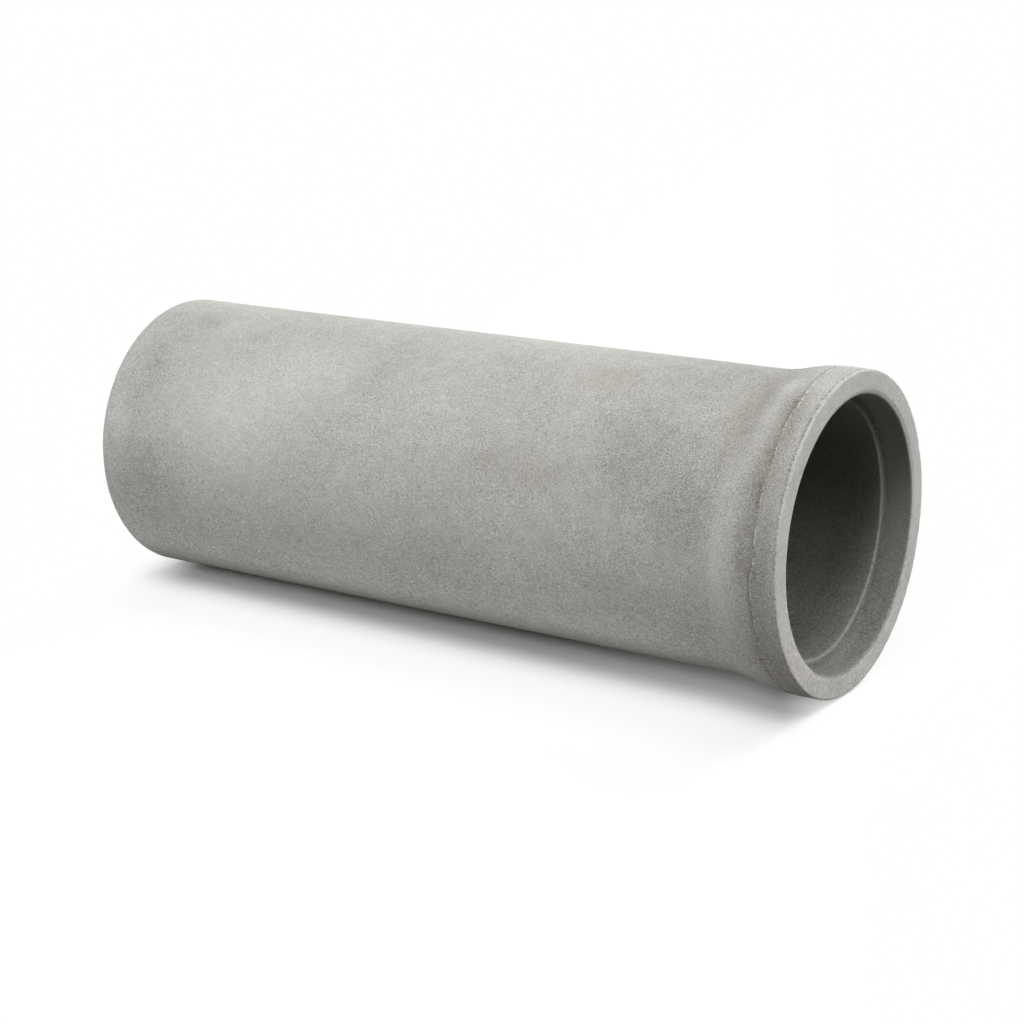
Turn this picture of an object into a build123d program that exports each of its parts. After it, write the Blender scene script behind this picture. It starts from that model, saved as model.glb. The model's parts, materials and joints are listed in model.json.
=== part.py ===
"""Precast concrete sewer pipe with a bell at one end and a plain spigot at the other.

The pipe is cast in one piece, so it is one solid: a section turned about the pipe's axis. It lies on a
level floor on its bell and on the edge of its spigot, which leaves the axis leaning by well under a degree.
Millimetres, +Z up, the bell towards +X, the origin on the floor below the middle of the pipe's box.
"""

import math
import os

from build123d import *

# Driving dimensions of the barrel
bore_diameter = 600.0
wall = 60.0
length = 2000.0

# Driving dimensions of the bell, which swells out from the barrel
bell_swell = 22.0
bell_straight = 60.0
ogee_length = 170.0

# Driving dimensions of the socket inside the bell, which steps out from the bore
shoulder_width = 25.0
socket_depth = 70.0
lip_rise = 10.0
lip_depth = 4.0

# Rounded edges
rim_round = 8.0
shoulder_round = 5.0
spigot_outer_round = 6.0
spigot_inner_round = 4.0

# Radii and places that follow from them, with x measured along the axis from the spigot's end
bore_radius = bore_diameter / 2
barrel_radius = bore_radius + wall
bell_radius = barrel_radius + bell_swell
socket_radius = bore_radius + shoulder_width
shoulder_x = length - socket_depth
bell_back_x = length - bell_straight
ogee_start_x = bell_back_x - ogee_length

# The ogee is two equal arcs, hollow and then swelling, that leave the barrel and meet the bell level
ogee_turn = 2 * math.degrees(math.atan2(bell_swell, ogee_length))
ogee_radius = (ogee_length**2 + bell_swell**2) / (4 * bell_swell)


def pipe_section():
    """Half of the pipe's lengthwise section, upright above its axis."""
    with BuildSketch(Plane.XZ) as section:
        with BuildLine():
            barrel = Line((0, barrel_radius), (ogee_start_x, barrel_radius))
            hollow = JernArc(barrel @ 1, barrel % 1, ogee_radius, ogee_turn)
            swell = JernArc(hollow @ 1, hollow % 1, ogee_radius, -ogee_turn)
            Polyline(
                swell @ 1,
                (length, bell_radius),
                (length, socket_radius + lip_rise),
                (length - lip_depth, socket_radius),
                (shoulder_x, socket_radius),
                (shoulder_x, bore_radius),
                (0, bore_radius),
                (0, barrel_radius),
            )
        make_face()
        for corner, edge_round in {
            (length, bell_radius): rim_round,
            (shoulder_x, bore_radius): shoulder_round,
            (0, bore_radius): spigot_inner_round,
            (0, barrel_radius): spigot_outer_round,
        }.items():
            fillet(section.vertices().sort_by_distance(corner)[0], edge_round)
    return section.sketch


def lean_angle():
    """How far the axis rises towards the bell when the spigot's edge and the bell's swell lie on one floor.

    The floor is the line that touches two circles of the section: the spigot's rounded edge and the ogee's
    swelling arc."""
    run = bell_back_x - spigot_outer_round
    rise = (bell_radius - ogee_radius) - (barrel_radius - spigot_outer_round)
    reach = math.hypot(run, rise)
    return math.degrees(math.atan2(rise, run) - math.asin((spigot_outer_round - ogee_radius) / reach))


def lay_on_floor(solid):
    """The solid with its axis leaning as it rests, its lowest point on the floor and its box centred."""
    leaning = Rot(0, -lean_angle(), 0) * solid
    box = leaning.bounding_box()
    return Pos(-box.center().X, -box.center().Y, -box.min.Z) * leaning


pipe = lay_on_floor(revolve(pipe_section(), Axis.X))

os.makedirs("parts", exist_ok=True)
export_step(pipe, "parts/concrete_pipe.step")
print(f"volume {pipe.volume / 1e9:.4f} m3, lean {lean_angle():.4f} degrees, ogee radius {ogee_radius:.1f} mm")
print("box", pipe.bounding_box())
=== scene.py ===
# %% [markdown]
# # A precast concrete sewer pipe, dressed in Blender
# The pipe is one casting: a straight barrel, a bell that swells out at one end, and a socket stepped into
# the bell for the next pipe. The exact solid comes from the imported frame. This lesson turns the same
# section into a mesh that has what a casting really has: a wandering mould line, knocked edges, small
# air holes and a skin that is never quite true. Then it gives that mesh a concrete finish.

import json
import math
import random

import bmesh
import bpy
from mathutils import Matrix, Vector
from mathutils.kdtree import KDTree


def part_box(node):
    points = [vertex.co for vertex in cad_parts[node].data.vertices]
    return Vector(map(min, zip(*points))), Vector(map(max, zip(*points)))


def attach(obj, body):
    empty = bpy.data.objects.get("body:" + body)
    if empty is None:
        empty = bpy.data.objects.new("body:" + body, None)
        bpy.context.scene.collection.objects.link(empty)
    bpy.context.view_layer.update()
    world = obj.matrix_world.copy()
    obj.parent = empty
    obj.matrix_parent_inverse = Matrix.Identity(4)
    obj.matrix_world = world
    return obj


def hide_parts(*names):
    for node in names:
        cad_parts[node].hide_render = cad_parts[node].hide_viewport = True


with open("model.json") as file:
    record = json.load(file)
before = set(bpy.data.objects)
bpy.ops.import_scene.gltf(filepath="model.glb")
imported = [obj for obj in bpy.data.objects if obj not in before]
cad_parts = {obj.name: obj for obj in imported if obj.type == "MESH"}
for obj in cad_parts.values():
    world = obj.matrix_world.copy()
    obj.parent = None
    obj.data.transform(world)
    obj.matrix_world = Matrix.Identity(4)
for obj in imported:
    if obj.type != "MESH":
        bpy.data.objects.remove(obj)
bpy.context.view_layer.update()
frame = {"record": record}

# %% [markdown]
# ## Read the sizes from the frame
# The main sizes are read, not typed. The record's mounts say where the pipe's axis runs and how wide the
# bore, the socket and the barrel are, and the box says how wide the bell is. The few that neither gives,
# such as the ogee's length, are written out further down. The pipe lies on its bell and on the edge of its
# spigot, so the axis leans by a fraction of a degree. All modelling is done in the pipe's own coordinates,
# with x along the axis from the spigot's end, and the finished mesh is laid on the floor last.

# %% Sizes from the mounts
MM = 0.001
TOUCHING = 0.01 * MM
mounts = {mount["name"]: mount for mount in frame["record"]["mounts"]}


def mount_place(name):
    """Where a mount sits, as a vector in metres."""
    return Vector(mounts[name]["pos_m"])


def mount_size(name, measure):
    """One of a mount's own dimensions, in metres."""
    return mounts[name]["dims"][measure] * MM


axis = Vector(mounts["bell_face"]["axis"]).normalized()
on_axis = mount_place("bore")
spigot_end = on_axis + axis * axis.dot(mount_place("spigot_face") - on_axis)
lean = math.asin(axis.z)
length = axis.dot(mount_place("bell_face") - spigot_end)
barrel_radius = mount_size("spigot", "r_mm")
bore_radius = mount_size("bore", "r_mm")
socket_radius = mount_size("socket", "r_mm")
bell_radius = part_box("concrete_pipe")[1].y
shoulder_x = axis.dot(mount_place("socket") - spigot_end) - mount_size("socket", "length_mm") / 2
print(f"length {length:.4f}, barrel radius {barrel_radius:.4f}, bell radius {bell_radius:.4f}")
print(f"the axis leans by {math.degrees(lean):.3f} degrees")

# %% [markdown]
# ## Draw the section
# A lathe shape needs only half of its lengthwise section. By hand you would add any primitive, merge it to
# one vertex and then draw: extrude for a straight run, spin the last vertex for an arc, and bevel a corner
# vertex for a rounded edge. A curve object with a bevel could do it too, but then the edge loops would not
# be ours to choose, and the loops carry the relief later.

# %% Editing helpers
def only(piece):
    """Selects one object alone and makes it the active one."""
    bpy.ops.object.select_all(action="DESELECT")
    piece.select_set(True)
    bpy.context.view_layer.objects.active = piece


def pick(piece, wanted, kind="verts"):
    """In edit mode, selects the vertices, edges or faces that pass a test, and says how many."""
    bpy.ops.mesh.select_all(action="DESELECT")
    mesh = bmesh.from_edit_mesh(piece.data)
    chosen = [element for element in getattr(mesh, kind) if wanted(element)]
    for element in chosen:
        element.select_set(True)
    mesh.select_flush_mode()
    bmesh.update_edit_mesh(piece.data)
    return len(chosen)


def draw_to(x, radius):
    """Extrudes the pen, which is the one selected vertex, to a place on the section."""
    pen = pen_place()
    step = (x - pen.x, 0, radius - pen.z)
    bpy.ops.mesh.extrude_region_move(TRANSFORM_OT_translate={"value": step})


def pen_place():
    """Where the selected vertex is."""
    mesh = bmesh.from_edit_mesh(bpy.context.active_object.data)
    return next(vertex.co.copy() for vertex in mesh.verts if vertex.select)


# %% Sizes of the section that the mounts don't give
bell_straight = 60 * MM
ogee_length = 170 * MM
lip_rise = 10 * MM
lip_depth = 4 * MM
rim_round = 5 * MM
shoulder_round = 5 * MM
spigot_outer_round = 6 * MM
spigot_inner_round = 4 * MM
worn_edge = 2 * MM
fin_x = length - 57.5 * MM
fin_half_width = 1.8 * MM
fin_height = 0.5 * MM

bell_swell = bell_radius - barrel_radius
bell_back_x = length - bell_straight
ogee_start_x = bell_back_x - ogee_length
ogee_radius = (ogee_length**2 + bell_swell**2) / (4 * bell_swell)
ogee_turn = 2 * math.atan2(bell_swell, ogee_length)
ogee_steps = 14
print(f"ogee from {ogee_start_x:.3f} to {bell_back_x:.3f}, mould line at {fin_x:.4f}")

# %% Draw the outline
bpy.ops.object.select_all(action="DESELECT")
bpy.ops.mesh.primitive_plane_add(size=1 * MM, location=(0, 0, barrel_radius))
pipe = bpy.context.active_object
pipe.name = "cast_pipe"
bpy.ops.object.transform_apply(location=True)
bpy.ops.object.mode_set(mode="EDIT")
bpy.ops.mesh.select_mode(type="VERT")
bpy.ops.mesh.select_all(action="SELECT")
bpy.ops.mesh.merge(type="CENTER")

draw_to(ogee_start_x, barrel_radius)
hollow_centre = (ogee_start_x, 0, barrel_radius + ogee_radius)
swell_centre = (bell_back_x, 0, bell_radius - ogee_radius)
bpy.ops.mesh.spin(steps=ogee_steps, angle=ogee_turn, center=hollow_centre, axis=(0, 1, 0))
bpy.ops.mesh.spin(steps=ogee_steps, angle=-ogee_turn, center=swell_centre, axis=(0, 1, 0))
draw_to(fin_x - fin_half_width, bell_radius)
draw_to(fin_x, bell_radius + fin_height)
draw_to(fin_x + fin_half_width, bell_radius)
draw_to(length, bell_radius)
draw_to(length, socket_radius + lip_rise)
draw_to(length - lip_depth, socket_radius)
draw_to(shoulder_x, socket_radius)
draw_to(shoulder_x, bore_radius)
draw_to(0, bore_radius)
draw_to(0, barrel_radius)
bpy.ops.mesh.select_all(action="SELECT")
bpy.ops.mesh.remove_doubles(threshold=TOUCHING)
print("outline of", len(bmesh.from_edit_mesh(pipe.data).verts), "vertices")

# %% Round its corners
edge_segments = 5


def round_corner(x, radius, edge_round):
    """Bevels the outline's vertex at one corner into an arc."""
    corner = Vector((x, 0, radius))
    found = pick(pipe, lambda vertex: (vertex.co - corner).length < 0.1 * MM)
    assert found == 1, (x, radius, found)
    bpy.ops.mesh.bevel(offset=edge_round, segments=edge_segments, affect="VERTICES")


round_corner(length, bell_radius, rim_round)
round_corner(length, socket_radius + lip_rise, worn_edge)
round_corner(length - lip_depth, socket_radius, worn_edge)
round_corner(shoulder_x, socket_radius, worn_edge)
round_corner(shoulder_x, bore_radius, shoulder_round)
round_corner(0, bore_radius, spigot_inner_round)
round_corner(0, barrel_radius, spigot_outer_round)
print("rounded outline of", len(bmesh.from_edit_mesh(pipe.data).verts), "vertices")

# %% Cut the long runs into even rows
barrel_row = 12 * MM
bell_row = 4.5 * MM
bore_row = 40 * MM


def middle(edge):
    """The middle of an edge."""
    return (edge.verts[0].co + edge.verts[1].co) / 2


def row_height(edge):
    """How long a row may be where this edge is."""
    place = middle(edge)
    if place.z < bore_radius + 1 * MM and edge.calc_length() > bore_row:
        return bore_row
    if abs(place.z - barrel_radius) < 1 * MM:
        return barrel_row
    return bell_row


edges = bmesh.from_edit_mesh(pipe.data).edges
long_edges = [edge for edge in edges if edge.calc_length() > 2 * row_height(edge)]
runs = [(middle(edge), round(edge.calc_length() / row_height(edge)) - 1) for edge in long_edges]
for place, cuts in runs:
    pick(pipe, lambda edge: (middle(edge) - place).length < TOUCHING, "edges")
    bpy.ops.mesh.subdivide(number_cuts=cuts)
rows = len(bmesh.from_edit_mesh(pipe.data).edges)
print(f"{len(runs)} runs cut, {rows} rows in all")

# %% [markdown]
# ## Turn it about the axis
# Spin sweeps the outline once round. The first and last columns land on each other, so doubles are merged
# and the normals are recalculated, because a spin can leave a shape inside out.

# %% Spin the pipe
columns = 320
bpy.ops.mesh.select_all(action="SELECT")
bpy.ops.mesh.spin(steps=columns, angle=2 * math.pi, center=(0, 0, 0), axis=(1, 0, 0))
bpy.ops.mesh.select_all(action="SELECT")
bpy.ops.mesh.remove_doubles(threshold=TOUCHING)
bpy.ops.mesh.normals_make_consistent(inside=False)
mesh = bmesh.from_edit_mesh(pipe.data)
open_edges = sum(len(edge.link_faces) != 2 for edge in mesh.edges)
print(f"{len(mesh.faces)} faces, {open_edges} open edges, volume {mesh.calc_volume(signed=True):.4f}")

# %% [markdown]
# ## Air holes
# Concrete traps air against the mould, which leaves small round holes in the skin. A bump map alone would
# not show them on the mesh, so each one is cut: bevel a vertex into a little face, then inset that face
# twice and push it in. A few are where the real pipe has them, and the rest are scattered with a seed.

# %% Cut the air holes
def on_pipe(along, clock, radius):
    """A place on the pipe: along the axis, and round from the top as a clock hand seen from the bell."""
    turn = math.radians(clock)
    return Vector((along, -radius * math.sin(turn), radius * math.cos(turn)))


seen_holes = [
    on_pipe(0.936, 52, barrel_radius),
    on_pipe(0.371, 103, barrel_radius),
    on_pipe(0.236, 134, barrel_radius),
    on_pipe(1.146, 132, barrel_radius),
    on_pipe(length - 30 * MM, -112, socket_radius),
]
chance = random.Random(11)
scattered_holes = [
    on_pipe(chance.uniform(0.05, ogee_start_x), chance.uniform(0, 360), barrel_radius) for _ in range(90)
]
scattered_holes += [
    on_pipe(chance.uniform(bell_back_x + 8 * MM, length - 14 * MM), chance.uniform(0, 360), bell_radius)
    for _ in range(36)
]
scattered_holes += [
    on_pipe(length, chance.uniform(0, 360), chance.uniform(socket_radius + 16 * MM, bell_radius - 12 * MM))
    for _ in range(24)
]


def cut_holes(places, half_width, depth):
    """Sinks a round hole at the vertex nearest to each place."""
    mesh = bmesh.from_edit_mesh(pipe.data)
    finder = KDTree(len(mesh.verts))
    for vertex in mesh.verts:
        finder.insert(vertex.co, vertex.index)
    finder.balance()
    near = {finder.find(place)[1] for place in places}
    pick(pipe, lambda vertex: vertex.index in near)
    bpy.ops.mesh.bevel(offset=half_width, segments=2, affect="VERTICES", clamp_overlap=True)
    bpy.ops.mesh.select_mode(type="FACE")
    bpy.ops.mesh.inset(thickness=half_width * 0.25, depth=-depth * 0.6)
    bpy.ops.mesh.inset(thickness=half_width * 0.3, depth=-depth * 0.4)
    bpy.ops.mesh.select_mode(type="VERT")
    return len(near)


large_hole = (3.0 * MM, 2.4 * MM)
hole_sizes = [(1.4 * MM, 1.1 * MM), (1.9 * MM, 1.5 * MM), (2.5 * MM, 2.0 * MM)]
cut = cut_holes(seen_holes, *large_hole)
for number, (half_width, depth) in enumerate(hole_sizes):
    cut += cut_holes(scattered_holes[number :: len(hole_sizes)], half_width, depth)
print(cut, "air holes")
bpy.ops.object.mode_set(mode="OBJECT")

# %% [markdown]
# ## Relief that no lathe gives
# Displace modifiers push the skin along its normals, or along one axis, by a noise texture. A vertex group
# says where each one acts. Five are applied: the whole skin waves by under a millimetre, a finer one makes
# it sandy, the mould line's ridge breaks up, the line wanders along the bell, and exposed edges lose chips.
# Before they act, each vertex notes how far along the mould it was cast, so that stains can follow the line.

# %% Vertex groups for the mould line and the edges
def group_by(name, weight_at):
    """Makes a vertex group from a weight worked out at each vertex."""
    group = pipe.vertex_groups.new(name=name)
    count = 0
    for vertex in pipe.data.vertices:
        weight = weight_at(vertex.co)
        if weight > 0:
            group.add([vertex.index], weight, "REPLACE")
            count += 1
    print(name, count, "vertices")


def reach(place):
    """How far a place is from the axis."""
    return math.hypot(place.y, place.z)


def near_ring(place, x, radius, spread):
    """One on a ring round the axis, falling to nought over a spread."""
    return max(0.0, 1 - math.hypot(place.x - x, reach(place) - radius) / spread)


def edge_weight(place):
    """High on the arrises that get knocked: the bell's rim, its lip and the spigot's edge."""
    return max(
        0.6 * near_ring(place, length, bell_radius, 14 * MM),
        0.7 * near_ring(place, length, socket_radius + lip_rise, 9 * MM),
        0.35 * near_ring(place, 0, barrel_radius, 12 * MM),
        0.6 * near_ring(place, 0, bore_radius, 9 * MM),
        0.5 * near_ring(place, shoulder_x, bore_radius, 9 * MM),
    )


group_by("mould_line", lambda place: near_ring(place, fin_x, bell_radius, 24 * MM))
group_by("crest", lambda place: near_ring(place, fin_x, bell_radius + fin_height, 1.5 * MM))
group_by("edges", edge_weight)
cast_x = pipe.data.attributes.new("cast_x", "FLOAT", "POINT")
cast_x.data.foreach_set("value", [vertex.co.x for vertex in pipe.data.vertices])
print("place along the mould noted on", len(cast_x.data), "vertices")


# %% Displace the skin
def push(name, grain, strength, direction="NORMAL", group="", mid_level=0.5, stops=None):
    """Adds a Displace modifier with a noise texture of one grain size, and applies it."""
    texture = bpy.data.textures.new(name, "CLOUDS")
    texture.noise_scale = grain
    if stops:
        texture.use_color_ramp = True
        for stop, (position, level) in zip(texture.color_ramp.elements, stops):
            stop.position = position
            stop.color = (level, level, level, 1)
    only(pipe)
    change = pipe.modifiers.new(name, "DISPLACE")
    change.texture = texture
    change.texture_coords = "LOCAL"
    change.strength = strength
    change.mid_level = mid_level
    change.direction = direction
    change.vertex_group = group
    bpy.ops.object.modifier_apply(modifier=name)
    print(name, "applied")


push("wavy skin", grain=0.22, strength=1.6 * MM)
push("sandy skin", grain=0.03, strength=0.5 * MM)
push("broken mould line", grain=0.018, strength=2.4 * MM, group="crest")
push("wandering mould line", grain=0.11, strength=24 * MM, direction="X", group="mould_line")
few_chips = [(0.56, 1.0), (0.72, 0.0)]
push("chipped edges", grain=0.016, strength=2.2 * MM, group="edges", mid_level=1.0, stops=few_chips)

# %% Lay the pipe on the floor
pipe.location = spigot_end
pipe.rotation_euler = (0, -lean, 0)
only(pipe)
bpy.ops.object.transform_apply(location=True, rotation=True, scale=True)
bpy.ops.object.shade_smooth_by_angle(angle=math.radians(40))
lowest = min(vertex.co.z for vertex in pipe.data.vertices)
triangles = sum(len(face.vertices) - 2 for face in pipe.data.polygons)
print(f"lowest point {lowest / MM:.2f} mm, {triangles} triangles")

# %% [markdown]
# ## Shader maths as Python
# A material is a graph of nodes, and a graph is hard to read as code. This small class wraps one output
# socket. Sums and products of such values add Math nodes, and any other node comes from one method.

# %% A value in a material
class Value:
    """One output of a node in a material, so that maths on it can be written as an expression."""

    def __init__(self, tree, socket=None):
        self.tree = tree
        self.socket = socket

    def node(self, kind, settings=None, inputs=None, output=0):
        """Adds a node, with its settings set first and then its sockets filled or linked."""
        made = self.tree.nodes.new("ShaderNode" + kind)
        for name, setting in (settings or {}).items():
            setattr(made, name, setting)
        for name, value in (inputs or {}).items():
            if isinstance(value, Value):
                self.tree.links.new(value.socket, made.inputs[name])
            else:
                made.inputs[name].default_value = value
        return Value(self.tree, made.outputs[output])

    def twin(self, output):
        """Another output of the same node."""
        return Value(self.tree, self.socket.node.outputs[output])

    def maths(self, operation, first, second=0.0):
        """One Math node."""
        return self.node("Math", {"operation": operation}, {0: first, 1: second})

    def __add__(self, other):
        return self.maths("ADD", self, other)

    __radd__ = __add__

    def __sub__(self, other):
        return self.maths("SUBTRACT", self, other)

    def __rsub__(self, other):
        return self.maths("SUBTRACT", other, self)

    def __mul__(self, other):
        return self.maths("MULTIPLY", self, other)

    __rmul__ = __mul__

    def above(self, low, high):
        """Nought below low, one above high, and smooth between."""
        limits = {"Value": self, "From Min": low, "From Max": high}
        return self.node("MapRange", {"interpolation_type": "SMOOTHSTEP"}, limits)

    def below(self, low, high, most=1.0):
        """The most below low, nought above high, and smooth between."""
        limits = {"Value": self, "From Min": low, "From Max": high, "To Min": most, "To Max": 0.0}
        return self.node("MapRange", {"interpolation_type": "SMOOTHSTEP"}, limits)

    def between(self, middle_value, spread):
        """One at a value, falling smoothly to nought a spread away."""
        return self.maths("ABSOLUTE", self - middle_value).below(0.0, spread)

    def most(self, other):
        """The larger of two values."""
        return self.maths("MAXIMUM", self, other)

    def noise(self, size, detail=2.0, roughness=0.5):
        """Noise on this vector, with features about a size across in metres, from -1 to 1 about nought."""
        inputs = {"Vector": self, "Scale": 1 / size, "Detail": detail, "Roughness": roughness}
        return self.node("TexNoise", {}, inputs) * 2 - 1

    def mix(self, factor, first, second, blend="MIX"):
        """Two colours mixed by a factor."""
        settings = {"data_type": "RGBA", "blend_type": blend}
        return self.node("Mix", settings, {0: factor, 6: first, 7: second}, 2)

    def shift(self, operation, other):
        """One Vector Math node."""
        return self.node("VectorMath", {"operation": operation}, {0: self, 1: other})

    def size(self):
        """The length of this vector."""
        return self.node("VectorMath", {"operation": "LENGTH"}, {0: self}, "Value")

    def part(self, axis_name):
        """One coordinate of this vector."""
        return self.node("SeparateXYZ", {}, {0: self}, axis_name)


def new_material(name):
    """A material, its shader, and a value with no socket yet, from which the first nodes are made."""
    material = bpy.data.materials.new(name)
    material.use_nodes = True
    shader = material.node_tree.nodes["Principled BSDF"]
    return material, shader, Value(material.node_tree)


# %% [markdown]
# ## The concrete
# Dry grey concrete is a fine sandy skin with soft clouds of lighter and darker cement, faint warm stains
# and small dark specks. The clouds are large and the grain is under a centimetre, so they are separate
# layers of noise on the pipe's own coordinates. A few soft dabs put the broad stains where the real pipe
# has them, such as the brown by the mould line, and a few in the socket are painted light and shade. The
# underside is darkened with painted shade. The inside is darkened with painted shade too, with painted
# light low in the bore, and the bell's face is paler, as it came off a steel ring. The mould line's ridge
# and the shoulder's edge get painted highlights, and the corner by the shoulder gets painted shade. An
# image texture could hold all this, but noise stays sharp at any distance and needs no unwrapping.

# %% Concrete: coordinates and where things are
concrete, shader, start = new_material("concrete")
placed = start.node("TexCoord", output="Object")
lie = {"Vector": placed, "Location": tuple(spigot_end), "Rotation": (0, -lean, 0)}
at = placed.node("Mapping", {"vector_type": "TEXTURE"}, lie)
along = at.part("X")
level = at.part("Z")
out = at.shift("MULTIPLY", (0, 1, 1)).size()
cast_along = start.node("Attribute", {"attribute_name": "cast_x"}, output="Fac")

past_shoulder = along.above(shoulder_x - 6 * MM, shoulder_x - 3 * MM)
in_socket = out.below(socket_radius + 2.5 * MM, socket_radius + 5 * MM) * past_shoulder
in_bore = out.below(bore_radius + 1 * MM, bore_radius + 4 * MM)
inside = in_socket.most(in_bore)
before_bell = along.below(ogee_start_x, bell_back_x)
# Painted shade along the underside of the barrel.
painted_underside_shade = level.below(-0.92 * barrel_radius, -0.64 * barrel_radius) * before_bell
lower_half = level.below(-0.8 * barrel_radius, 0.2 * barrel_radius)
bell_face = along.above(length - 3 * MM, length - 1 * MM) * (1 - inside)
# Painted light: the bore's colour is lighter low down, where more light falls.
low_bore_light = level.below(-0.45 * bore_radius, 0.25 * bore_radius)
print("masks for the inside, the underside and the bell's face")

# %% Concrete: layers of grain and cloud
grain = at.noise(3.4 * MM, 1, 0.5)
sand = at.noise(1.7 * MM, 0, 0.5)
coarse = at.noise(7 * MM, 1, 0.5) * lower_half
clump = at.noise(14 * MM, 2, 0.6)
mottle = at.noise(45 * MM, 3, 0.6)
rough_patch = at.noise(0.13, 2, 0.5).above(-0.35, 0.35)
cloud = at.noise(0.32, 3, 0.55)
broad = at.noise(0.9, 2, 0.5)
stretched = at.shift("MULTIPLY", (1, 0.12, 0.12))
bands = stretched.noise(26 * MM, 2, 0.5) * along.above(ogee_start_x - 60 * MM, ogee_start_x + 60 * MM)
print("grain and clouds in", len(concrete.node_tree.nodes), "nodes so far")

# %% Concrete: broad stains, and painted light and shade in the socket
ragged = mottle * 0.12


def dab(where, size, strength=1.0):
    """A soft patch on the pipe: strongest at its middle, nought at its edge, with a ragged outline."""
    scale = [1 / extent for extent in size]
    offset = [-place * factor for place, factor in zip(where, scale)]
    reach_out = at.node("VectorMath", {"operation": "MULTIPLY_ADD"}, {0: at, 1: scale, 2: offset})
    return (reach_out.size() + ragged).below(0.0, 1.0, strength)


dark_dabs = [
    (on_pipe(0.16, 18, barrel_radius), (0.13, 0.13, 0.13), 0.3),
    (on_pipe(0.11, 50, barrel_radius), (0.10, 0.20, 0.20), 0.35),
    (on_pipe(0.14, 95, barrel_radius), (0.19, 0.18, 0.18), 0.5),
    (on_pipe(0.81, 35, barrel_radius), (0.08, 0.16, 0.16), 0.2),
    (on_pipe(1.60, 57, barrel_radius), (0.24, 0.21, 0.21), 0.42),
    (on_pipe(1.75, 75, barrel_radius), (0.14, 0.15, 0.15), 0.5),
    (on_pipe(1.30, 68, barrel_radius), (0.20, 0.10, 0.10), 0.2),
    (on_pipe(1.68, -4, barrel_radius), (0.45, 0.26, 0.26), 0.4),
    (on_pipe(1.975, 87, bell_radius), (0.04, 0.22, 0.22), 0.4),
    (on_pipe(length, 172, 0.36), (0.06, 0.24, 0.24), 0.25),
    # Painted shade low in the socket, near the mouth.
    (on_pipe(length - 22 * MM, -147, socket_radius), (0.035, 0.14, 0.14), 0.35),
]
brown_dabs = [
    (on_pipe(1.94, 66, bell_radius), (0.065, 0.40, 0.40), 0.5),
    (on_pipe(1.929, 29, bell_radius), (0.032, 0.07, 0.07), 0.45),
    (on_pipe(1.955, 36, bell_radius), (0.032, 0.12, 0.12), 0.4),
    (on_pipe(1.925, 60, bell_radius), (0.035, 0.14, 0.14), 0.45),
    (on_pipe(1.915, 84, bell_radius), (0.035, 0.11, 0.11), 0.55),
    (on_pipe(1.945, 96, bell_radius), (0.035, 0.14, 0.14), 0.45),
    (on_pipe(1.95, 124, bell_radius), (0.05, 0.15, 0.15), 0.35),
    (on_pipe(1.975, 148, bell_radius), (0.05, 0.15, 0.15), 0.4),
]
pale_dabs = [
    (on_pipe(0.43, 63, barrel_radius), (0.28, 0.22, 0.22), 0.65),
    (on_pipe(0.63, 42, barrel_radius), (0.26, 0.18, 0.18), 0.45),
    (on_pipe(1.02, 50, barrel_radius), (0.28, 0.18, 0.18), 0.15),
    (on_pipe(1.85, 88, barrel_radius), (0.055, 0.36, 0.36), 0.7),
    (on_pipe(1.895, 19, bell_radius), (0.035, 0.07, 0.07), 0.8),
    (on_pipe(1.894, 34, bell_radius), (0.032, 0.07, 0.07), 0.5),
    (on_pipe(1.894, 47, bell_radius), (0.032, 0.10, 0.10), 0.4),
    (on_pipe(0.04, 72, barrel_radius), (0.06, 0.09, 0.09), 0.4),
    (on_pipe(length, 88, 0.36), (0.03, 0.26, 0.26), 0.3),
    (on_pipe(length, -85, 0.36), (0.03, 0.22, 0.22), 0.12),
    # The next two dabs are painted light on the socket's right wall and its bottom.
    (on_pipe(length - 48 * MM, -85, socket_radius), (0.06, 0.26, 0.26), 1.4),
    (on_pipe(length - 55 * MM, -166, socket_radius), (0.03, 0.12, 0.12), 0.6),
]
warm_dabs = [
    (on_pipe(1.44, 23, barrel_radius), (0.13, 0.10, 0.10), 0.9),
    (on_pipe(1.21, 66, barrel_radius), (0.06, 0.04, 0.04), 0.8),
    (on_pipe(1.35, 68, barrel_radius), (0.08, 0.08, 0.08), 0.9),
    (on_pipe(1.825, 33, barrel_radius), (0.08, 0.25, 0.25), 0.95),
    (on_pipe(1.94, 45, bell_radius), (0.06, 0.26, 0.26), 0.6),
    (on_pipe(1.95, 135, bell_radius), (0.10, 0.28, 0.28), 0.7),
]


def dabs(patches):
    """All patches of one kind added up."""
    return sum(dab(*patch) for patch in patches)


print(len(dark_dabs + brown_dabs + pale_dabs + warm_dabs), "broad stains")

# %% Concrete: mould line, edges and specks
outside = 1 - inside
beside_line = cast_along.between(fin_x - 5 * MM, 12 * MM) * outside
on_line = cast_along.between(fin_x, 2.6 * MM) * outside
breaks = at.noise(10 * MM, 2, 0.6)
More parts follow.
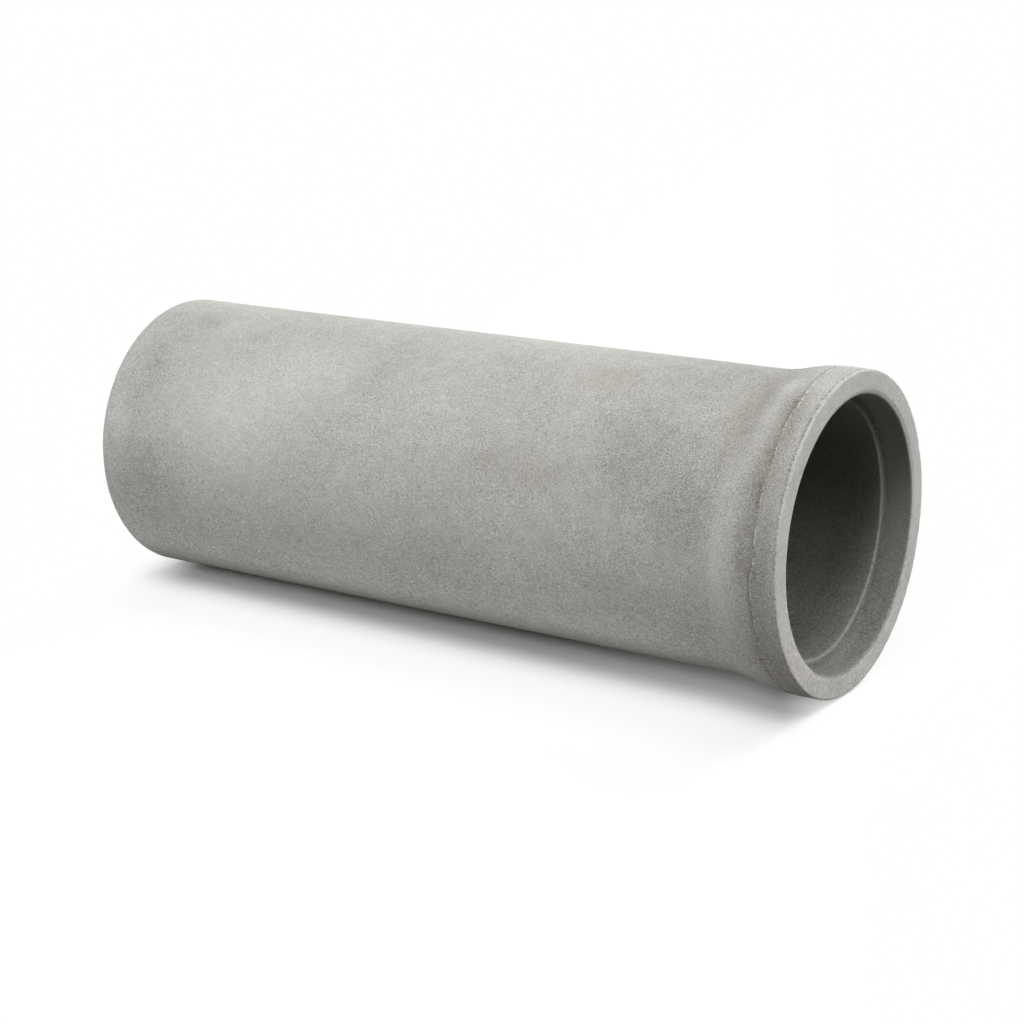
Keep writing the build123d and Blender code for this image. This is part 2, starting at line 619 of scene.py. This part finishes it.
# A painted highlight along the mould line's crest, broken by noise.
ridge_highlight = on_line * (mottle + breaks * 0.5).above(-0.1, 0.2)
pitting = cast_along.between(fin_x - 2 * MM, 5 * MM) * outside * breaks.below(-0.3, 0.0)
near_top = dab(on_pipe(length, 38, bell_radius), (0.08, 0.45, 0.45))
rim_line = along.between(length - 8 * MM, 5 * MM) * outside * near_top
rim = along.between(length - 6 * MM, 9 * MM) * out.above(bell_radius - 9 * MM, bell_radius - 2 * MM)
lip = out.between(socket_radius + lip_rise, 4 * MM) * along.above(length - 5 * MM, length - 2 * MM)
lip_line = lip * breaks.above(-0.45, 0.15) * dab(on_pipe(length, -50, socket_radius), (0.06, 0.36, 0.36))
low_ledge = level.below(-0.8 * socket_radius, -0.3 * socket_radius)
ledge = out.between(socket_radius + 6 * MM, 6 * MM) * along.above(length - 7 * MM, length - 4 * MM)
lip_dirt = ledge * low_ledge
on_shoulder = along.between(shoulder_x, 5 * MM)
# Painted shade in the inside corner between the shoulder and the socket wall.
corner_shade = on_shoulder * out.above(bore_radius + 7 * MM, bore_radius + 13 * MM) * inside
# A painted highlight along the shoulder's edge into the bore, broken by noise.
shoulder_edge_highlight = on_shoulder * out.between(bore_radius + 3 * MM, 5 * MM) * breaks.above(-0.5, 0.1)
cells = {"Vector": at, "Scale": 1 / (9 * MM), "Randomness": 1.0}
speck_distance = at.node("TexVoronoi", {}, cells, "Distance")
speck_pick = at.node("SeparateColor", {}, {0: speck_distance.twin("Color")}, "Red")
speck_share = 0.975 - rim * 0.35 - lip * 0.2 - on_line * 0.3 - beside_line * 0.25
speck = (speck_pick - speck_share).above(0.0, 0.01) * speck_distance.below(0.12, 0.32)
print("mould line, rim, lip and specks in", len(concrete.node_tree.nodes), "nodes so far")

# %% Concrete: colour
DARK_CEMENT = (0.23, 0.2265, 0.2125, 1)
PALE_CEMENT = (0.70, 0.692, 0.658, 1)
WARM_TINT = (0.94, 0.91, 0.862, 1)
# The socket and bore tints are painted shade; the low bore's tint is painted light.
SOCKET_SHADE_TINT = (0.50, 0.505, 0.49, 1)
BORE_SHADE_TINT = (0.66, 0.665, 0.66, 1)
LOW_BORE_LIGHT_TINT = (0.92, 0.925, 0.92, 1)
SPECK_TINT = (0.45, 0.44, 0.42, 1)
# Painted shade for the underside.
UNDERSIDE_SHADE_TINT = (0.62, 0.625, 0.595, 1)

fine = (grain * 0.62 + sand * 0.28 + coarse * 0.45) * (0.85 + rough_patch * 0.25) * (1 - bell_face * 0.3)
tone = 0.55 + fine + clump * 0.13 + mottle * 0.15 + cloud * 0.14 + broad * 0.06 + bands * 0.1
brown = dabs(brown_dabs) * (0.8 + mottle * 1.0 + clump * 0.7) * (1 - bell_face)
tone = tone + dabs(pale_dabs) * 0.3 - dabs(dark_dabs) * 0.45 - brown * 0.42 + bell_face * 0.12
# The mould line's crest is lightened with a painted highlight.
tone = tone - beside_line * 0.18 * (1 + mottle * 2) + ridge_highlight * 0.8 - pitting * 0.3
tone = tone - rim_line * 0.6 * breaks.above(-0.3, 0.3) - lip_line * 0.4 - lip_dirt * 0.28
# The shoulder's edge gets a painted highlight, and the corner by the shoulder painted shade.
tone = tone + shoulder_edge_highlight * 0.3 - corner_shade * 0.3
colour = at.mix(tone, DARK_CEMENT, PALE_CEMENT)
warmth = dabs(warm_dabs) + brown * 0.9 + (cloud * 0.7 - broad * 0.3).above(0.05, 0.5) * 0.3
colour = at.mix(warmth, colour, at.mix(1.0, colour, WARM_TINT, "MULTIPLY"))
# Painted shade darkens the socket and the bore, and painted light lifts the bore low down.
colour = at.mix(inside, colour, at.mix(1.0, colour, SOCKET_SHADE_TINT, "MULTIPLY"))
bore_shade_and_light = at.mix(low_bore_light, BORE_SHADE_TINT, LOW_BORE_LIGHT_TINT)
colour = at.mix(in_bore, colour, at.mix(1.0, colour, bore_shade_and_light, "MULTIPLY"))
colour = at.mix(speck, colour, at.mix(1.0, colour, SPECK_TINT, "MULTIPLY"))
# Painted shade: the underside is darkened.
colour = at.mix(painted_underside_shade, colour, at.mix(1.0, colour, UNDERSIDE_SHADE_TINT, "MULTIPLY"))
concrete.node_tree.links.new(colour.socket, shader.inputs["Base Color"])
print("colour in", len(concrete.node_tree.nodes), "nodes so far")

# %% Concrete: roughness and bump
roughness = 0.88 + grain * 0.05 + mottle * 0.05
concrete.node_tree.links.new(roughness.socket, shader.inputs["Roughness"])
shader.inputs["Specular IOR Level"].default_value = 0.3
height = fine * 0.45 + clump * 0.3 + mottle * 0.3 - speck * 1.6
relief = {"Strength": 0.35, "Distance": 0.8 * MM, "Height": height}
concrete.node_tree.links.new(at.node("Bump", {}, relief).socket, shader.inputs["Normal"])
print("concrete has", len(concrete.node_tree.nodes), "nodes")

# %% Hand the piece to the frame
pipe.data.materials.clear()
pipe.data.materials.append(concrete)
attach(pipe, "root")
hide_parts("concrete_pipe")
print(pipe.name, "stands for the solid")

# %% [markdown]
# ## A white studio
# The floor is white to the camera and greyer to the light that bounces off it, so that the pipe's underside
# stays in shade. Sun lamps light the whole floor evenly, where an area lamp would leave it grey far away.
# The pipe and the floor have lamps of their own, by light linking. The pipe's main lamp is overhead. Weaker
# ones light the bell's face from its side, the top edge from behind, the flank from the front and the
# socket from straight before it, and none of them throws a shadow across the floor. The floor's five lamps
# lean step by step from behind to the front, which makes the soft shadow. Past both ends the floor also
# has painted light: to the camera it glows, though it is no lamp, and washes the shadow out there, so that
# the shadow stays under the pipe's front.

# %% Floor
bpy.ops.object.select_all(action="DESELECT")
bpy.ops.mesh.primitive_plane_add(size=120, location=(0, 0, lowest - 0.2 * MM))
floor = bpy.context.active_object
floor.name = "floor"
bpy.ops.object.transform_apply(location=True)


def seen(start):
    """One where the camera sees a thing, straight or in a reflection, and nought for bounced light."""
    kinds = ["Is Camera Ray", "Is Glossy Ray", "Is Transmission Ray"]
    camera_ray, glossy_ray, clear_ray = [start.node("LightPath", output=kind) for kind in kinds]
    return camera_ray.most(glossy_ray).most(clear_ray)


FLOOR_WHITE = (1.0, 1.0, 1.0, 1)
FLOOR_BOUNCE = (0.6, 0.6, 0.6, 1)
MAT_BOUNCE = (0.1, 0.1, 0.1, 1)
UNLIT = (0, 0, 0, 1)
# How strong the floor's painted light is at most.
MOST_PAINTED_LIGHT = 0.95
floor_paint, floor_shader, start = new_material("floor_paint")
floor_at = start.node("TexCoord", output="Object")
floor_x = floor_at.part("X")
floor_y = floor_at.part("Y")
seen_floor = seen(start)
# Painted light: the floor glows to the camera past the bell and past the spigot, washing out the shadow
# there.
past_bell = (floor_x + floor_y * 0.5).above(0.78, 1.04)
past_spigot = (floor_x + floor_y * 0.35).below(-1.16, -0.92)
toward_bell = floor_x.above(0.1, 1.0) * 0.1
# Less painted light just by the bell's contact, so that some of its shadow stays.
under_bell = floor_x.between(0.95, 0.13) * floor_y.between(0.0, 0.14)
painted_floor_light = past_bell.most(past_spigot).most(toward_bell) * MOST_PAINTED_LIGHT * (1 - under_bell * 0.5)
seen_colour = start.mix(painted_floor_light, FLOOR_WHITE, UNLIT)
floor_bounce = start.mix(floor_x.above(0.75, 1.05), FLOOR_BOUNCE, MAT_BOUNCE)
floor_colour = start.mix(seen_floor, floor_bounce, seen_colour)
floor_paint.node_tree.links.new(floor_colour.socket, floor_shader.inputs["Base Color"])
# The painted light goes into the floor's emission, to the camera only.
painted_light_colour = start.mix(painted_floor_light * seen_floor, UNLIT, FLOOR_WHITE)
floor_paint.node_tree.links.new(painted_light_colour.socket, floor_shader.inputs["Emission Color"])
floor_shader.inputs["Emission Strength"].default_value = 1.0
floor_shader.inputs["Roughness"].default_value = 1.0
floor_shader.inputs["Specular IOR Level"].default_value = 0.0
floor.data.materials.append(floor_paint)
print(f"floor at {floor.data.vertices[0].co.z / MM:.2f} mm")

# %% World
AMBIENT = 0.04
world = bpy.data.worlds.new("studio")
bpy.context.scene.world = world
world.use_nodes = True
backdrop = world.node_tree.nodes["Background"]
backdrop.inputs["Color"].default_value = (1, 1, 1, 1)
backdrop_glow = seen(Value(world.node_tree)) * (1 - AMBIENT) + AMBIENT
world.node_tree.links.new(backdrop_glow.socket, backdrop.inputs["Strength"])
print("white backdrop that lights the pipe by", AMBIENT)


# %% Lamps
def sun(name, lights, tilt_front, tilt_bell, spread, share):
    """A sun lamp for one object, leaning from overhead towards the front and the bell, in degrees.

    The shares of an object's lamps add up to about one, which makes a level white surface just white."""
    source = Vector((math.tan(math.radians(tilt_bell)), -math.tan(math.radians(tilt_front)), 1))
    lamp = bpy.data.lights.new(name, "SUN")
    lamp.energy = share * math.pi * source.length
    lamp.angle = math.radians(spread)
    holder = bpy.data.objects.new(name, lamp)
    holder.rotation_euler = (-source).to_track_quat("-Z", "Y").to_euler()
    bpy.context.scene.collection.objects.link(holder)
    lit = bpy.data.collections.new("lit by " + name)
    lit.objects.link(lights)
    holder.light_linking.receiver_collection = lit


sun("overhead", pipe, 24, 3, 28, 0.59)
sun("bell side", pipe, -35, 60, 24, 0.214)
sun("behind", pipe, -70, 0, 30, 0.16)
sun("front", pipe, 85, 0, 30, 0.012)
sun("into the bell", pipe, 12, 55, 24, 0.137)
floor_lamps = [(-45, 2, 0.075), (-15, 3, 0.103), (15, 6, 0.257), (30, 12, 0.381), (60, 30, 0.171)]
for tilt_front, tilt_bell, share in floor_lamps:
    sun(f"shadow {tilt_front}", floor, tilt_front, tilt_bell, 26, share)
print(len(bpy.data.lights), "lamps")

# %% Camera
CAMERA_PLACE = (3.0881, -4.4909, 1.8218)
LOOKS_DOWN = math.radians(15.785)
LOOKS_LEFT = math.radians(33.984)
camera = bpy.data.cameras.new("camera")
camera.sensor_width = 36
camera.lens = 78.515
viewpoint = bpy.data.objects.new("camera", camera)
viewpoint.location = CAMERA_PLACE
viewpoint.rotation_euler = (math.pi / 2 - LOOKS_DOWN, 0, LOOKS_LEFT)
bpy.context.scene.collection.objects.link(viewpoint)
bpy.context.scene.camera = viewpoint
print("camera at", tuple(viewpoint.location))

# %% Colours as written
bpy.context.scene.view_settings.view_transform = "Standard"
print("view transform", bpy.context.scene.view_settings.view_transform)
